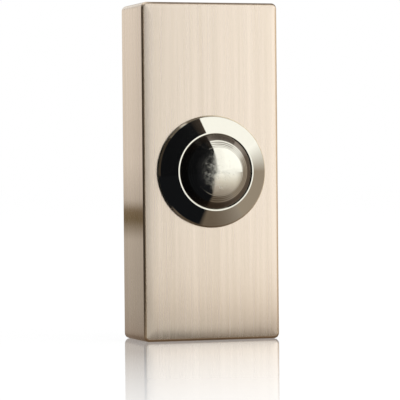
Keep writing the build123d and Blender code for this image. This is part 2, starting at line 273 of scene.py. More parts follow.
# shading normal of a fine relief, with its depth in metres
def relief(tree, height, strength, depth):
    bump = addNode(tree, "Bump", {"Height": height, "Strength": strength, "Distance": depth})
    return bump.outputs["Normal"]


def newFinish(name):
    material = bpy.data.materials.new(name)
    material.use_nodes = True
    return material, material.node_tree, material.node_tree.nodes["Principled BSDF"]


# warm nickel brushed along the case: fine and broad streaks change the tone, and the fine ones change the
# roughness and the height; the front edges, marked edged, are rougher, and their browner, darker tone is
# painted shade
satin = {
    "light": (0.80, 0.699, 0.588), "dark": (0.688, 0.594, 0.486), "toneSpan": (0.7, 1.3),
    "fine": (260.0, 3.0, 1.0), "broad": (62.0, 0.9, 1.0), "broadDetail": 4.0,
    "roughness": (0.21, 0.29), "grainSpan": (0.3, 0.7), "anisotropy": 0.6,
    "edgeShadeTone": (0.64, 0.49, 0.33), "edgeRoughness": 0.43, "bump": 0.06, "bumpDepth": 0.00002,
}


def satinFinish(look):
    material, tree, shader = newFinish("satinNickel")
    fine = streaks(tree, look["fine"], layer="brush")
    broad = streaks(tree, look["broad"], look["broadDetail"], layer="brush")
    share = remap(tree, worked(tree, "ADD", fine, broad), look["toneSpan"])
    tone = mixTones(tree, share, look["dark"], look["light"])
    grain = remap(tree, fine, look["grainSpan"], look["roughness"])
    edged = attribute(tree, "edged")
    feed(tree, shader, {
        # the browner tone on the front edges is painted shade; their rougher gloss is the finish
        "Base Color": mixTones(tree, edged, tone, look["edgeShadeTone"]),
        "Roughness": mixNumbers(tree, edged, grain, look["edgeRoughness"]),
        "Metallic": 1.0, "Anisotropic": look["anisotropy"], "Tangent": tangent(tree, "brush"),
        "Normal": relief(tree, fine, look["bump"], look["bumpDepth"]),
    })
    return material


# polished nickel on turned brass: faint lathe lines, and a haze of handling, stronger where marked wear;
# the recesses, such as the button's flank and its turned lines, get painted shade: a dark tone, and a
# rougher gloss
polished = {
    "light": (0.735, 0.72, 0.63), "dark": (0.685, 0.67, 0.585), "waves": 5200.0, "bump": 0.035,
    "bumpDepth": 0.00002, "haze": (1300.0, 1300.0, 1300.0), "hazeDetail": 5.0, "hazeRoughness": 0.62,
    "roughness": (0.03, 0.09), "cleanSpan": (0.35, 0.7), "worn": (0.11, 0.31), "wornSpan": (0.36, 0.68),
    "dullShade": (0.175, 0.148, 0.12), "dullRoughness": 0.14, "anisotropy": 0.9,
}


def polishedFinish(look):
    material, tree, shader = newFinish("polishedNickel")
    haze = streaks(tree, look["haze"], look["hazeDetail"], look["hazeRoughness"])
    tone = mixTones(tree, haze, look["dark"], look["light"])
    clean = remap(tree, haze, look["cleanSpan"], look["roughness"])
    worn = remap(tree, haze, look["wornSpan"], look["worn"])
    gloss = mixNumbers(tree, attribute(tree, "wear"), clean, worn)
    # the dark tone in the recesses is painted shade; the higher roughness there is the finish
    recessShade = attribute(tree, "recessShade")
    feed(tree, shader, {
        "Base Color": mixTones(tree, recessShade, tone, look["dullShade"]),
        "Roughness": mixNumbers(tree, recessShade, gloss, look["dullRoughness"]),
        "Metallic": 1.0, "Anisotropic": look["anisotropy"], "Tangent": tangent(tree, "turned"),
        "Normal": relief(tree, turningLines(tree, look["waves"]), look["bump"], look["bumpDepth"]),
    })
    return material


satinNickel = satinFinish(satin)
polishedNickel = polishedFinish(polished)
print("finishes ready")


# case: a box skin. Loops run round the outline; rows go up the side, over the front edge, in to the bezel
# hole, through it and back inside. A front row is the straight blend of the outline and the hole's circle at
# the same angle.
caseSet = {
    "half": (16.0, 38.0), "depth": 16.0, "wall": 1.6, "corner": 1.2, "innerCorner": 0.8,
    "backEdge": 0.15, "backRows": 4, "edge": 0.5, "edgeRows": 11, "edgeRoom": 0.1, "topEdgeShade": 0.35,
    "pillowReach": 2.4, "pillowDrop": 0.07, "faceRows": 19, "faceBunch": 1.4, "faceEnds": (0.004, 0.995),
    "hole": 11.15, "liningShares": (0.005, 0.25, 0.5, 0.75, 0.995, 1.0),
    "endStations": 25, "sideStations": 73, "lowLevels": (0.2, 1.0), "highLevels": (11.0, 12.5),
    "innerLevels": (11.0, 8.0), "rimLevel": 1.5,
    "screwLevel": 6.0, "sinkRadius": 2.4, "sinkHole": 1.4, "sinkReach": 4.0, "sinkRoom": 0.3,
    "sinkLand": 0.05, "sinkRings": (0.7, 1.38, 1.42, 1.75, 2.1, 2.36, 2.40, 2.44, 2.75, 3.3, 4.0),
    "hookHalf": 5.2, "hookLevels": (3.2, 4.8), "hookDepth": 0.8,
    "brushScale": 10.0, "brushShift": 0.5, "endFacing": 0.72,
}


# lines of the mesh on both sides of the screw, at the distances of its rings
def sinkLines(own):
    rings = np.array(own["sinkRings"])
    return np.concatenate([-rings[::-1], [0.0], rings])


# stations in order, each of them once
def inOrder(*stations, digits=4):
    return np.unique(np.round(np.concatenate(stations), digits))


# where the loops have points along the top, left, bottom and right, as shares of each straight run: at equal
# angles seen from the middle, and beside the hook's pocket in the top and about the screw in the bottom
def caseShares(own):
    halfX, halfZ = own["half"]
    flatX, flatZ = halfX - own["corner"], halfZ - own["corner"]
    acrossX = halfZ * np.tan(np.linspace(-1, 1, own["endStations"])[1:-1] * np.arctan(flatX / halfZ))
    acrossZ = halfX * np.tan(np.linspace(-1, 1, own["sideStations"])[1:-1] * np.arctan(flatZ / halfX))
    hook = own["hookHalf"] + np.array([-hair, hair])
    top, sides = inOrder(acrossX, hook, -hook), inOrder(acrossZ)
    bottom = inOrder(acrossX[np.abs(acrossX) > own["sinkReach"] + own["sinkRoom"]], sinkLines(own))
    return [
        (flatX - top[::-1]) / (2 * flatX), (flatZ - sides[::-1]) / (2 * flatZ),
        (bottom + flatX) / (2 * flatX), (sides + flatZ) / (2 * flatZ),
    ]


# rounded rectangle: corner arcs in equal angles, and along each side the points given as shares;
# it runs from the top right corner over the top to the left, and on round
def boxLoop(half, corner, shares, inset=0.0, steps=8):
    radius = max(corner - inset, 0.0)
    flat = np.array(half) - inset - radius
    turn = np.linspace(0, np.pi / 2, steps + 1)
    arcs = []
    for quarter, side in enumerate(((1, 1), (-1, 1), (-1, -1), (1, -1))):
        spin = turn + quarter * np.pi / 2
        arcs.append(np.array(side) * flat + radius * np.stack([np.cos(spin), np.sin(spin)], -1))
    out = []
    for arc, following, share in zip(arcs, arcs[1:] + arcs[:1], shares):
        out += [arc, arc[-1] + (following[0] - arc[-1]) * share[:, None]]
    return np.vstack(out)


# countersink in the bottom: square rings about the screw are eased into circles, then pressed in as a
# 45 degree cone
def sinkScrew(loops, own):
    halfZ, screw = own["half"][1], own["screwLevel"]
    x, level, z = loops[..., 0], -loops[..., 1] - screw, loops[..., 2]
    square = np.maximum(np.abs(x), np.abs(level))
    under = (z < touch - halfZ) & (square <= own["sinkReach"] + touch)
    x, level, square = x[under], level[under], square[under]
    land = own["sinkRadius"] + own["sinkLand"]
    ease = np.clip((square - land) / (own["sinkReach"] - land), 0, 1)
    grow = 1 + (1 - ease * ease * (3 - 2 * ease)) * (square / np.maximum(np.hypot(x, level), tiny) - 1)
    x, level = x * grow, level * grow
    press = np.clip(own["sinkRadius"] - np.hypot(x, level), 0, own["sinkRadius"] - own["sinkHole"])
    loops[under] = np.column_stack([x, -(level + screw), press - halfZ])


# pocket for the hook in the inner top wall
def sinkHook(loops, own):
    x, level, z = loops[..., 0], -loops[..., 1], loops[..., 2]
    low, high = own["hookLevels"]
    onWall = np.abs(z - (own["half"][1] - own["wall"])) < touch
    loops[onWall & (np.abs(x) < own["hookHalf"]) & (level > low) & (level < high), 2] += own["hookDepth"]


def caseLoops(own):
    half, corner, shares = np.array(own["half"]), own["corner"], caseShares(own)
    front, inside = own["depth"], own["depth"] - own["wall"]
    back, edge, drop = own["backEdge"], own["edge"], own["pillowDrop"]
    outer = boxLoop(half, corner, shares)
    inner = boxLoop(half - own["wall"], own["innerCorner"], shares)
    angle = np.arctan2(outer[:, 1], outer[:, 0])
    circle = own["hole"] * np.stack([np.cos(angle), np.sin(angle)], -1)
    rows = []  # each an outline and its level
    for turn in np.linspace(0, np.pi / 2, own["backRows"]):  # back edge, rounded a little
        rows.append((boxLoop(half, corner, shares, back * (1 - np.sin(turn))), back * (1 - np.cos(turn))))
    screwLevels = own["screwLevel"] + sinkLines(own)
    for level in (*own["lowLevels"], *screwLevels, *own["highLevels"], front - edge - own["edgeRoom"]):
        rows.append((outer, level))
    edgeStart = len(rows)
    for turn in np.linspace(0, np.pi / 2, own["edgeRows"]):  # front edge, a quarter circle
        level = front - drop - edge * (1 - np.sin(turn))
        rows.append((boxLoop(half, corner, shares, edge * (1 - np.cos(turn))), level))
    frontEdge = slice(edgeStart, len(rows))
    face = boxLoop(half, corner, shares, edge)
    first, last = own["faceEnds"]
    for share in (first, *np.linspace(0, 1, own["faceRows"])[1:-1] ** own["faceBunch"], last, 1.0):
        spots = face + (circle - face) * share
        depth = (half - edge - np.abs(spots)).min(1)  # the front falls off a little towards its edges
        rows.append((spots, front - drop * np.clip(1 - depth / own["pillowReach"], 0, 1) ** 2))
    rows += [(circle, level) for level in (front - hair, inside + hair, inside)]  # hole, then inside
    rows += [(circle + (inner - circle) * share, inside) for share in own["liningShares"]]
    low, high = own["hookLevels"]
    hookLevels = (high + hair, high - hair, (low + high) / 2, low + hair, low - hair)
    for level in (inside - hair, *own["innerLevels"], *hookLevels, own["rimLevel"], hair, 0.0):
        rows.append((inner, level))
    loops = np.array([
        np.column_stack([flat[:, 0], np.broadcast_to(-level, len(flat)), flat[:, 1]]) for flat, level in rows
    ])
    edged = np.zeros(loops.shape[:2])
    # edged marks the front edge rows for painted shade and a rougher finish
    onTop = loops[frontEdge, :, 2] > half[1] - corner
    edged[frontEdge] = np.where(onTop, own["topEdgeShade"], 1.0)  # the top edge gets less of the painted edge shade
    sinkScrew(loops, own)
    sinkHook(loops, own)
    return loops, {"edged": edged}


# own coordinates of the case: u across the brushing, v along it, upright but sideways on the two ends
def brushCoordinates(piece, own):
    spot, owner = cornerSpots(piece.data)
    facing = np.zeros(len(piece.data.polygons) * 3)
    piece.data.polygons.foreach_get("normal", facing)
    onEnd = np.abs(facing.reshape(-1, 3)[owner, 2]) > own["endFacing"]
    across = np.where(onEnd, spot[:, 1], spot[:, 0] + spot[:, 1])
    along = np.where(onEnd, spot[:, 0], spot[:, 2])
    flat = np.column_stack([across, along]) * own["brushScale"] + own["brushShift"]
    piece.data.uv_layers.new(name="brush").data.foreach_set("uv", flat.ravel())


loops, marks = caseLoops(caseSet)
caseShell = skinLoops("caseShell", loops, satinNickel, marks=marks)
brushCoordinates(caseShell, caseSet)
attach(caseShell, "housing")
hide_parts("case")
print("case:", len(caseShell.data.polygons), "faces")


# bezel: turned section with a rounded rim, a thin lip and a plain bore; the barrel carries a thread, a saw
# of its depth in (level / pitch - turn / full turn), faded out at both ends
bezelSet = {
    "section": [
        (8.55, 19.45, 0.05), (8.85, 19.45, 0.08), (12.3, 17.15, 0.30), (12.65, 16.65, 0.25),
        (12.65, 16.0, 0.08), (11.0, 16.0, 0.10), (11.0, 9.5, 0.25), (9.45, 9.5, 0.20),
        (9.45, 15.75, 0.05), (8.34, 15.75, 0.08), (8.34, 19.3, 0.05),
    ],
    "longest": 0.6, "segments": 256,
    "barrelRadius": 11.0, "barrelSpan": (9.8, 15.85), "threadRows": (9.82, 15.8, 72),
    "pitch": 1.0, "threadDepth": 0.32, "threadLevels": (9.9, 14.6), "threadFade": 0.5,
    # where the bore below the lip gets painted shade
    "dullShadeLevel": 19.35, "dullShadeFade": 0.1, "dullShadeRadius": 8.6,
}


def onBarrel(section, own):
    return np.abs(section[:, 0] - own["barrelRadius"]) < tiny


# the section, with the barrel's own rows taken out and even ones for the thread put in
def bezelSection(own):
    section = divided(roundedOutline(own["section"]), own["longest"])
    low, high = own["barrelSpan"]
    barrel = onBarrel(section, own) & (section[:, 1] > low) & (section[:, 1] < high)
    levels = np.linspace(*own["threadRows"])[::-1]
    threadRows = np.column_stack([np.full(len(levels), own["barrelRadius"]), levels])
    return np.insert(section[~barrel], [int(np.argmax(barrel))] * len(levels), threadRows, 0)


def bezelThread(section, own):
    level, turn = section[:, 1:], turnAngles(own["segments"])
    low, high = own["threadLevels"]
    fade = np.clip(np.minimum(level - low, high - level) / own["threadFade"], 0, 1)
    saw = np.abs(((level / own["pitch"] - turn / (2 * np.pi)) % 1.0) - 0.5) * 2
    return -own["threadDepth"] * saw * fade * onBarrel(section, own)[:, None]


# the bore below the lip gets painted shade: a dark tone, and a rougher gloss
def bezelMarks(section, own):
    radius, level = section.T
    dullShade = np.clip((own["dullShadeLevel"] - level) / own["dullShadeFade"], 0, 1) * (radius < own["dullShadeRadius"])
    return {"recessShade": dullShade, "wear": np.zeros(len(section))}


section = bezelSection(bezelSet)
loops = turnedLoops(section, bezelSet["segments"], bezelThread(section, bezelSet))
bezelRing = skinLoops("bezelRing", loops, polishedNickel, marks=bezelMarks(section, bezelSet))
turnedCoordinates(bezelRing)
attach(bezelRing, "housing")
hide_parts("bezel")
print("bezel:", len(bezelRing.data.polygons), "faces")


# button: a ball crown, level = centre + sqrt(R^2 - r^2), with a fine turned groove near its edge that is one
# wave of a cosine; then a shoulder with turned lines, a steep flank, the skirt, collar and cavity
buttonSet = {
    "crownLevel": 22.95, "crownRadius": 12.6, "crownEdge": 5.55, "crownRows": 40, "crownRound": 0.1,
    "grooveAt": 5.42, "grooveWidth": 0.2, "grooveDepth": 0.022, "grooveRows": 13, "grooveRoom": 0.15,
    "shoulder": (7.0, 20.5), "shoulderRound": 0.25, "support": 0.01, "segments": 256,
    "lineStart": 0.2, "linePitch": 0.56, "lineDepth": 0.007, "lineFade": 0.2, "lineRoom": 0.2,
    "lineNear": 0.002, "shoulderStep": 0.05, "restStep": 0.6, "lineShade": 0.6, "grooveShade": 0.5,
    "flankRise": 0.12, "flankFade": 0.15, "flankWidth": 0.3, "wearRoom": 0.1, "wearFade": 1.5,
    "rest": [
        (8.25, 19.38, 0.05), (8.25, 15.75, 0.06), (9.25, 15.75, 0.12), (9.25, 14.55, 0.12),
        (6.65, 14.55, 0.12), (6.65, 18.75, 0.20), (1.5, 18.75, 0.10), (1.5, 20.75, 0.10),
    ],
}


# place across the groove, from -0.5 at its inner edge to 0.5 at its outer one
def grooveShare(radius, own):
    return np.clip((radius - own["grooveAt"]) / own["grooveWidth"], -0.5, 0.5)


def buttonCrown(own):
    groove = own["grooveAt"] + np.linspace(-0.5, 0.5, own["grooveRows"]) * own["grooveWidth"]
    even = np.linspace(0, own["grooveAt"] - own["grooveRoom"], own["crownRows"])
    reach = np.unique(np.concatenate([even, groove, [own["crownEdge"]]]))
    ball = own["crownLevel"] - own["crownRadius"] + np.sqrt(own["crownRadius"] ** 2 - reach**2)
    dip = own["grooveDepth"] * (0.5 + 0.5 * np.cos(2 * np.pi * grooveShare(reach, own)))
    return np.column_stack([reach, ball - dip])


# the whole section, with short steps down the shoulder for its lines
def buttonOutline(own, crown):
    edge, shoulder = (*crown[-1], own["crownRound"]), (*own["shoulder"], own["shoulderRound"])
    corners = [(*crown[-2], 0.0), edge, shoulder, *own["rest"], (0.0, own["rest"][-1][1], 0.0)]
    lower = roundedOutline(corners, closed=False, support=own["support"])
    radius, level = lower.T
    sloping = (radius > own["crownEdge"]) & (radius < own["shoulder"][0]) & (level > own["shoulder"][1])
    first, last = np.flatnonzero(sloping)[[0, -1]]
    slope = divided(lower[first:last + 1], own["shoulderStep"], closed=False)
    rest = divided(lower[last:], own["restStep"], closed=False)
    return np.vstack([crown[:-2], lower[:first], slope[:-1], rest])


# the turned lines are a cosine of the distance down the shoulder, along its normal
def buttonSection(own):
    crown = buttonCrown(own)
    section = buttonOutline(own, crown)
    start, end = crown[-1], np.array(own["shoulder"])
    run = unit(end - start)
    normal = np.array([-run[1], run[0]])
    down, off = (section - start) @ run, (section - start) @ normal
    room = np.linalg.norm(end - start) - own["lineRoom"]
    fade = np.clip(np.minimum(down, room - down) / own["lineFade"], 0, 1) * (np.abs(off) < own["lineNear"])
    wave = -np.cos(2 * np.pi * (down - own["lineStart"]) / own["linePitch"])
    radius, level = section.T
    onCrown = level > start[1]
    flank = np.clip((end[1] + own["flankRise"] - level) / own["flankFade"], 0, 1)
    flank = flank * (radius > end[0] - own["flankWidth"])
    # painted shade in the troughs of the turned lines, in the groove and on the lower flank
    shadedLines = own["lineShade"] * fade * (0.5 - 0.5 * wave)
    shadedGroove = own["grooveShade"] * np.cos(np.pi * grooveShare(radius, own)) * onCrown
    wear = np.clip((own["grooveAt"] - own["wearRoom"] - radius) / own["wearFade"], 0, 1) * onCrown
    marks = {"recessShade": np.maximum(flank, shadedLines + shadedGroove), "wear": wear}
    return section + (own["lineDepth"] * wave * fade)[:, None] * normal, marks


section, marks = buttonSection(buttonSet)
poles = np.array([[0, -section[0, 1], 0], [0, -section[-1, 1], 0]])
marks = {mark: values[1:-1] for mark, values in marks.items()}
loops = turnedLoops(section[1:-1], buttonSet["segments"])
buttonCap = skinLoops("buttonCap", loops, polishedNickel, poles, marks=marks)
turnedCoordinates(buttonCap)
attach(buttonCap, "push_button")
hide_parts("button")
print("button:", len(buttonCap.data.polygons), "faces")


# finishes of the inner pieces: a tone that wanders with noise, a range of roughness and a fine relief
innerGrain = {
    "detail": 4.0, "roughness": 0.6, "toneSpan": (0.3, 0.7), "glossSpan": (0.32, 0.68), "bumpDepth": 0.00003,
}
innerFinishes = {
    "springSteel": {
        "slot": "spring_steel", "light": (0.62, 0.62, 0.63), "dark": (0.44, 0.44, 0.46), "metal": 1.0,
        "waves": (900.0, 900.0, 900.0), "roughness": (0.22, 0.42), "bump": 0.06,
    },
    "turnedBrass": {
        "slot": "brass", "light": (0.86, 0.66, 0.33), "dark": (0.66, 0.46, 0.20), "metal": 1.0,
        "waves": (700.0, 2400.0, 700.0), "roughness": (0.20, 0.42), "bump": 0.06,
    },
    "rolledBronze": {
        "slot": "bronze", "light": (0.78, 0.50, 0.32), "dark": (0.60, 0.36, 0.22), "metal": 1.0,
        "waves": (2200.0, 2200.0, 60.0), "roughness": (0.24, 0.40), "bump": 0.05,
    },
    "silverContact": {
        "slot": "silver", "light": (0.93, 0.92, 0.89), "dark": (0.76, 0.75, 0.72), "metal": 1.0,
        "waves": (2600.0, 2600.0, 2600.0), "roughness": (0.18, 0.38), "bump": 0.04,
    },
    "platedSteel": {
        "slot": "plated_steel", "light": (0.80, 0.79, 0.76), "dark": (0.62, 0.61, 0.59), "metal": 1.0,
        "waves": (1800.0, 1800.0, 1800.0), "roughness": (0.18, 0.36), "bump": 0.05,
    },
    "blackMoulding": {
        "slot": "black_moulding", "light": (0.04, 0.04, 0.042), "dark": (0.022, 0.022, 0.024), "metal": 0.0,
        "waves": (3800.0, 3800.0, 3800.0), "roughness": (0.42, 0.62), "bump": 0.30,
    },
    "naturalNylon": {
        "slot": "natural_nylon", "light": (0.84, 0.81, 0.72), "dark": (0.76, 0.72, 0.61), "metal": 0.0,
        "waves": (1100.0, 1100.0, 1100.0), "roughness": (0.34, 0.50), "bump": 0.08,
    },
}


def innerFinish(name, look):
    material, tree, shader = newFinish(name)
    grain = streaks(tree, look["waves"], innerGrain["detail"], innerGrain["roughness"])
    share = remap(tree, grain, innerGrain["toneSpan"])
    feed(tree, shader, {
        "Base Color": mixTones(tree, share, look["dark"], look["light"]),
        "Roughness": remap(tree, grain, innerGrain["glossSpan"], look["roughness"]),
        "Metallic": look["metal"],
        "Normal": relief(tree, grain, look["bump"], innerGrain["bumpDepth"]),
    })
    return material


inner = {look["slot"]: innerFinish(name, look) for name, look in innerFinishes.items()}
for part in frame["record"]["subparts"]:
    if part["material_slot"] in inner:
        frame["nodes"][part["node"]].material_slots[0].material = inner[part["material_slot"]]


# return spring: round wire carried along a coil; the pitch is small over the closed end turns, then grows
# to an even one, and the level is the running sum of the pitch; the wire's circle stands across the coil
coilSet = {
    "radius": 5.55, "wire": 0.3, "levels": (12.752, 18.447), "turns": 5.0, "closed": 0.75,
    "closedPitch": 0.62, "openOver": 0.4, "steps": 300, "sides": 16,
    "anchor": (0.0, -0.01245, 0.0), "keep": 0.682,
}


def coilLoops(own):
    turns = np.linspace(0, own["turns"], own["steps"] + 1)
    fromEnd = np.minimum(turns, own["turns"] - turns)
    opened = np.clip((fromEnd - own["closed"]) / own["openOver"], 0, 1)
    step = np.diff(turns)
    spread = (opened[1:] + opened[:-1]) / 2 * step
    low, high = own["levels"]
    extra = (high - low - own["closedPitch"] * own["turns"]) / spread.sum()
    level = low + np.concatenate([[0], np.cumsum(own["closedPitch"] * step + extra * spread)])
    angle, zero = 2 * np.pi * turns, np.zeros_like(turns)
    out = np.stack([np.cos(angle), zero, np.sin(angle)], -1)
    centre = own["radius"] * out - np.stack([zero, level, zero], -1)
    across = np.cross(unit(np.gradient(centre, axis=0)), out)
    ring = turnAngles(own["sides"])[None, :, None]
    circle = np.cos(ring) * out[:, None] + np.sin(ring) * across[:, None]
    return centre[:, None] + own["wire"] * circle, centre[[0, -1]]


loops, poles = coilLoops(coilSet)
returnCoil = skinLoops("returnCoil", loops, inner["spring_steel"], poles)
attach(returnCoil, "housing")
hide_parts("return_spring")
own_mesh(returnCoil)


# leaf contact: a strip with a screw hole. Each row is a straight blend of the outline and the hole's circle;
# the rows cross the rear face to the hole and come back over the front face. The contact point is a cone
# with a flat top, raised from the rear. The rows are given as stretches of the blend, each with its count.
leafSet = {
    "outline": [
        (-3.0, 21.0, 0.5), (-3.0, 13.6, 4.0), (-2.2, -3.6, 0.8),
        (2.2, -3.6, 0.8), (3.0, 13.6, 4.0), (3.0, 21.0, 0.5),
    ],
    "longest": 0.15, "rows": [(0.0, 0.1, 5), (0.1, 0.27, 27), (0.27, 1.0, 12)], "hole": 1.65, "holeAt": 17.6,
    "rear": 5.8, "front": 6.1, "pointFlat": 0.7, "pointRadius": 1.5, "pointHeight": 0.3,
    "bendFrom": (0.0, -0.006, 0.0136), "bendTo": (0.0, -0.006, 0.0005),
}


def leafLoops(own):
    outline = divided(roundedOutline(own["outline"]), own["longest"])
    middle = np.array([0.0, own["holeAt"]])
    circle = middle + own["hole"] * unit(outline - middle)
    share = np.unique(np.concatenate([np.linspace(*stretch) for stretch in own["rows"]]))[:, None, None]
    face = outline + (circle - outline) * share
    reach = np.linalg.norm(face, axis=-1)
    slope = (own["pointRadius"] - reach) / (own["pointRadius"] - own["pointFlat"])
    rise = own["pointHeight"] * np.clip(slope, 0, 1)
    rear = np.stack([face[..., 0], rise - own["rear"], face[..., 1]], -1)
    front = np.stack([face[..., 0], np.full_like(reach, -own["front"]), face[..., 1]], -1)
    return np.concatenate([rear, front[::-1]])


leafStrip = skinLoops("leafStrip", leafLoops(leafSet), inner["bronze"])
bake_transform(leafStrip)
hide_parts("leaf_contact")
print("spring and leaf:", len(returnCoil.data.polygons), "and", len(leafStrip.data.polygons), "faces")


# camera at the photograph's angle: yaw to the left of the front, level, with a slight roll
shot = {
    "lens": 221.8, "sensor": 36.0, "clip": (0.01, 50.0), "azimuth": -18.09, "distance": 562.0,
    "centre": (0.0, -8.0, 0.0), "aimDown": 6.48, "aimLeft": 0.13, "roll": -0.54,
}
yaw = math.radians(shot["azimuth"])
away, right = Vector((math.sin(yaw), -math.cos(yaw), 0)), Vector((math.cos(yaw), math.sin(yaw), 0))
eye = (Vector(shot["centre"]) + away * shot["distance"]) * mm
aim = (Vector(shot["centre"]) - right * shot["aimLeft"] - Vector((0, 0, shot["aimDown"]))) * mm
camera = bpy.data.objects.new("camera", bpy.data.cameras.new("camera"))
camera.data.lens, camera.data.sensor_width = shot["lens"], shot["sensor"]
camera.data.clip_start, camera.data.clip_end = shot["clip"]
roll = Matrix.Rotation(math.radians(shot["roll"]), 3, "Z")
turned = (aim - eye).to_track_quat("-Z", "Y").to_matrix() @ roll
camera.matrix_world = Matrix.Translation(eye) @ turned.to_4x4()
bpy.context.scene.collection.objects.link(camera)
bpy.context.scene.camera = camera


# a sheet of the studio, from a grid of points in metres, and the rays that meet it
def stageSheet(name, grid, material, seen=("glossy",)):
    mesh = bpy.data.meshes.new(name)
    mesh.from_pydata(grid.reshape(-1, 3).tolist(), [], gridQuads(*grid.shape[:2]).tolist())
    mesh.materials.append(material)
    sheet = bpy.data.objects.new(name, mesh)
    bpy.context.scene.collection.objects.link(sheet)
    for ray in ("camera", "diffuse", "glossy", "transmission", "shadow"):
        setattr(sheet, "visible_" + ray, ray in seen)
    sheet.visible_volume_scatter = False


# points in metres from coordinates that are numbers, rows or columns
def pointGrid(x, y, z):
    return np.stack(np.broadcast_arrays(x, y, z), -1)


def levelGrid(reach, level, points=9):
    span = np.linspace(-reach, reach, points)
    return pointGrid(span[None, :], span[:, None], level)


def bareMaterial(name):
    material = bpy.data.materials.new(name)
    material.use_nodes = True
    material.node_tree.nodes.clear()
    return material, material.node_tree


def mixShaders(tree, share, first, second):
    return addNode(tree, "MixShader", {"Fac": share, 1: first, 2: second}).outputs["Shader"]


def emission(tree, tone, strength):
    return addNode(tree, "Emission", {"Color": tone, "Strength": strength}).outputs["Emission"]


# 1 for the camera, and for what is seen in a mirror or through glass; 0 for the light that falls on things
def seenDirectly(tree):
    rays = addNode(tree, "LightPath").outputs
    mirrored = worked(tree, "MAXIMUM", rays["Is Camera Ray"], rays["Is Glossy Ray"])
    return worked(tree, "MAXIMUM", mirrored, rays["Is Transmission Ray"])


# from 0 where a surface is seen squarely to 1 where it is seen along itself
def grazing(tree):
    return addNode(tree, "LayerWeight").outputs["Facing"]


white, black = (1.0, 1.0, 1.0), (0.006, 0.0065, 0.008)
rising, falling = (0.0, 1.0), (1.0, 0.0)

# floor: pale and matt, lifted towards white; at flat angles it has a gloss that fades out with the distance
floorSet = {
    "level": -38.02 * mm, "reach": 4.0, "middle": (0.0, -0.012), "tone": (0.95, 0.95, 0.95), "lift": 0.7,
    "glow": 1.08, "sheen": 0.75, "angle": (0.80, 0.93), "fade": (0.04, 0.25), "blur": 0.04,
}


def floorFinish(own):
    material, tree = bareMaterial("floorPale")
    matt = addNode(tree, "BsdfDiffuse", {"Color": own["tone"]}).outputs["BSDF"]
    gloss = addNode(tree, "BsdfGlossy", {"Color": white, "Roughness": own["blur"]}).outputs["BSDF"]
    lift = worked(tree, "MULTIPLY", seenDirectly(tree), own["lift"])
    plain = mixShaders(tree, lift, matt, emission(tree, white, own["glow"]))
    distance = placeLength(tree, "SUBTRACT", (*own["middle"], own["level"]))
    near = remap(tree, distance, own["fade"], (own["sheen"], 0.0))
    glaze = multiplied(tree, [near, remap(tree, grazing(tree), own["angle"])])
    addNode(tree, "OutputMaterial", {"Surface": mixShaders(tree, glaze, plain, gloss)})
    return material


floorRays = ("camera", "diffuse", "transmission", "shadow")
stageSheet("floor", levelGrid(floorSet["reach"], floorSet["level"]), floorFinish(floorSet), floorRays)

# table that only reflections show, just under the floor: brown grey near the object and pale far off, by
# 1 - exp(-distance / reach), the darkening near the object being painted shadow; brown to the right, and
# dark to the front left and far left as a painted reflection of the curtain; at flat angles a painted sheen
# near the object. Places and edges are in metres.
tableSet = {
    "under": 0.1 * mm, "span": 1.5, "middle": (0.0, -0.016), "reach": 0.12, "strength": 1.35,
    "tones": [
        (0.0, (0.105, 0.08, 0.06)), (0.12, (0.135, 0.104, 0.08)), (0.36, (0.355, 0.308, 0.272)),
        (0.62, (0.69, 0.64, 0.58)), (0.9, (0.93, 0.91, 0.88)), (1.0, white),
    ],
    "brown": (0.30, 0.25, 0.205), "brownBearing": (0.80, 0.97), "slant": 0.10,
    "leftEdge": (-0.0053, -0.0013), "frontEdge": (-0.027, -0.019), "farEdge": (-0.036, -0.024),
    "sheenTone": (0.57, 0.555, 0.53), "sheenAngle": (0.72, 0.94), "sheenStart": (-0.01, 0.035),
    "sheenEnd": (0.07, 0.12), "sheenSide": (0.010, 0.036), "sheenFront": (-0.022, -0.017),
}


def tableFinish(own):
    material, tree = bareMaterial("tableTone")
    axes = objectAxes(tree)
    x, y = axes["X"], axes["Y"]
    distance = placeLength(tree, "SUBTRACT", (*own["middle"], floorSet["level"]))
    fall = worked(tree, "EXPONENT", worked(tree, "MULTIPLY", distance, -1 / own["reach"]))
    # painted shadow: the tone darkens towards the object
    tone = toneRamp(tree, remap(tree, fall, rising, falling), own["tones"])
    bearing = remap(tree, worked(tree, "DIVIDE", x, distance), own["brownBearing"])
    tone = mixTones(tree, bearing, tone, own["brown"], "DARKEN")
    slanted = worked(tree, "MULTIPLY_ADD", y, own["slant"], x)
    # painted reflection of the dark curtain, front left and far left
    frontLeft = multiplied(tree, [
        remap(tree, slanted, own["leftEdge"], falling), remap(tree, y, own["frontEdge"], falling),
    ])
    dark = worked(tree, "MAXIMUM", frontLeft, remap(tree, x, own["farEdge"], falling))
    tone = mixTones(tree, dark, tone, black)
    # painted sheen at flat angles near the object
    sheen = multiplied(tree, [
        remap(tree, grazing(tree), own["sheenAngle"]),
        remap(tree, distance, own["sheenStart"]), remap(tree, distance, own["sheenEnd"], falling),
        remap(tree, x, own["sheenSide"], falling), remap(tree, y, own["sheenFront"], falling),
    ])
    glow = emission(tree, mixTones(tree, sheen, tone, own["sheenTone"]), own["strength"])
    addNode(tree, "OutputMaterial", {"Surface": glow})
    return material


tableGrid = levelGrid(tableSet["span"], floorSet["level"] - tableSet["under"])
stageSheet("tableCard", tableGrid, tableFinish(tableSet))


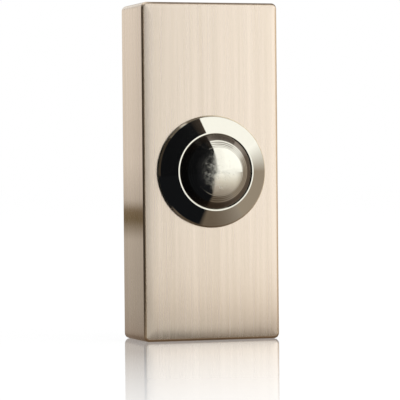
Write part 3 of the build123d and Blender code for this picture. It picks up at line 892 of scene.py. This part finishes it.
# glow of a card, which shows its front only: one tone, or tones by their places along an axis, in metres
def cardGlow(name, tones, strength=1.0, axis="Z"):
    material, tree = bareMaterial(name)
    tone = tones[0][1]
    if len(tones) > 1:
        low, high = tones[0][0], tones[-1][0]
        share = remap(tree, objectAxes(tree)[axis], (low, high))
        tone = toneRamp(tree, share, [((place - low) / (high - low), shade) for place, shade in tones])
    clear = addNode(tree, "BsdfTransparent").outputs["BSDF"]
    behind = addNode(tree, "NewGeometry").outputs["Backfacing"]
    surface = mixShaders(tree, behind, emission(tree, tone, strength), clear)
    addNode(tree, "OutputMaterial", {"Surface": surface})
    return material


# a patch of a sphere, with the azimuth to the right of the front, in degrees
def domePatch(radius, azimuth, elevation, columns=33, rows=25):
    turn = np.radians(np.linspace(*azimuth, columns))[None, :]
    rise = np.radians(np.linspace(*elevation, rows))[:, None]
    return radius * pointGrid(np.sin(turn) * np.cos(rise), -np.cos(turn) * np.cos(rise), np.sin(rise))


# cards that only reflections show: a dark curtain with a brown end and hem to the left, a white screen with
# a hotter part to the right, and two dimmer cards low on the right
brown = tableSet["brown"]
domeCards = {
    "flag": {
        "radius": 0.42, "azimuth": (9.0, -150.0), "elevation": (-25.0, 85.0),
        "glow": {"name": "flagBlack", "tones": [(0.0, black)]},
    },
    "brownFlag": {
        "radius": 0.40, "azimuth": (-80.0, -150.0), "elevation": (-25.0, 62.0),
        "glow": {"name": "flagBrown", "tones": [(0.0, (0.06, 0.046, 0.034))]},
    },
    "flagHem": {
        "radius": 0.41, "azimuth": (9.5, -16.0), "elevation": (47.0, 72.0),
        "glow": {"name": "hemTone", "axis": "X", "tones": [
            (-0.055, black), (-0.02, (0.032, 0.025, 0.021)),
            (0.022, (0.055, 0.041, 0.034)), (0.034, (0.24, 0.19, 0.155)),
        ]},
    },
    "brightScreen": {
        "radius": 1.6, "azimuth": (120.0, -30.0), "elevation": (-1.0, 88.0),
        "glow": {"name": "screenWhite", "tones": [(0.0, white)], "strength": 1.32},
    },
    "hotCard": {
        "radius": 1.5, "azimuth": (68.0, 28.0), "elevation": (4.0, 42.0),
        "glow": {"name": "hotWhite", "tones": [(0.0, white)], "strength": 1.47},
    },
    "rightCard": {
        "radius": 0.9, "azimuth": (150.0, 76.0), "elevation": (-3.0, 24.0),
        "glow": {"name": "rightTone", "tones": [(0.0, brown), (0.34, white)], "strength": 1.35},
    },
    "backCard": {
        "radius": 0.85, "azimuth": (150.0, 88.0), "elevation": (-3.0, 30.0),
        "glow": {"name": "backTone", "tones": [(0.0, brown), (0.25, (0.33, 0.28, 0.235)), (0.42, white)],
                 "strength": 1.35},
    },
}
for name, card in domeCards.items():
    glow = cardGlow(**card["glow"])
    stageSheet(name, domePatch(card["radius"], card["azimuth"], card["elevation"]), glow)

# card close to the left side of the case, facing it, with a brown band across
sideSet = {
    "x": -0.022, "y": (-0.006, 0.08), "z": (-0.038, 0.06), "points": 9,
    "tones": [
        (-0.038, (0.39, 0.345, 0.307)), (-0.0317, (0.46, 0.42, 0.376)), (-0.0158, (0.56, 0.516, 0.467)),
        (-0.0113, (0.186, 0.143, 0.083)), (-0.0090, (0.215, 0.164, 0.104)), (-0.0066, (0.62, 0.57, 0.52)),
        (0.0024, (0.81, 0.755, 0.70)), (0.036, (0.92, 0.865, 0.81)),
    ],
}
sideY, sideZ = (np.linspace(*sideSet[axis], sideSet["points"]) for axis in ("y", "z"))
sideGrid = pointGrid(sideSet["x"], sideY[None, :], sideZ[:, None])
stageSheet("sideCard", sideGrid, cardGlow("sideTone", sideSet["tones"]))

# dusky card close above the case, facing down, with a light gap over the case's left edge; its front edge
# runs straight, then slants back to the right
dusk = (0.22, 0.195, 0.17)
topSet = {
    "x": (-0.04, 0.045), "columns": 18, "z": 0.042, "back": 0.03, "depth": 0.0555, "rows": 9,
    "slantFrom": 0.012, "slant": 0.22,
    "tones": [
        (-0.04, dusk), (-0.0215, dusk), (-0.0195, white), (-0.0145, white), (-0.0125, dusk), (0.045, dusk),
    ],
}
topX = np.linspace(*topSet["x"], topSet["columns"])[None, :]
topDepth = topSet["depth"] - topSet["slant"] * np.maximum(topX - topSet["slantFrom"], 0)
topY = topSet["back"] - topDepth * np.linspace(0, 1, topSet["rows"])[:, None]
stageSheet("topCard", pointGrid(topX, topY, topSet["z"]), cardGlow("topTone", topSet["tones"], axis="X"))

# soft box to the front right, above the object
boxSet = {"place": (0.55, -0.42, 0.36), "size": 0.85, "radiance": 1.3}
lamp = bpy.data.lights.new("softBox", "AREA")
lamp.shape, lamp.size = "SQUARE", boxSet["size"]
lamp.energy = boxSet["radiance"] * math.pi * boxSet["size"] ** 2
softBox = bpy.data.objects.new("softBox", lamp)
softBox.location = boxSet["place"]
softBox.rotation_euler = (-Vector(boxSet["place"])).to_track_quat("-Z", "Y").to_euler()
softBox.visible_camera = softBox.visible_glossy = False
bpy.context.scene.collection.objects.link(softBox)

# plain white surround, a little dimmer as a light than as it is seen
surround = {"seen": 1.0, "fill": 0.85}
world = bpy.data.worlds.new("surround")
bpy.context.scene.world = world
world.use_nodes = True
tree = world.node_tree
tree.nodes.clear()
strength = remap(tree, seenDirectly(tree), rising, (surround["fill"], surround["seen"]))
sky = addNode(tree, "Background", {"Color": white, "Strength": strength})
addNode(tree, "OutputWorld", {"Surface": sky.outputs["Background"]})
bpy.context.scene.view_settings.view_transform = "Standard"
print("studio ready")
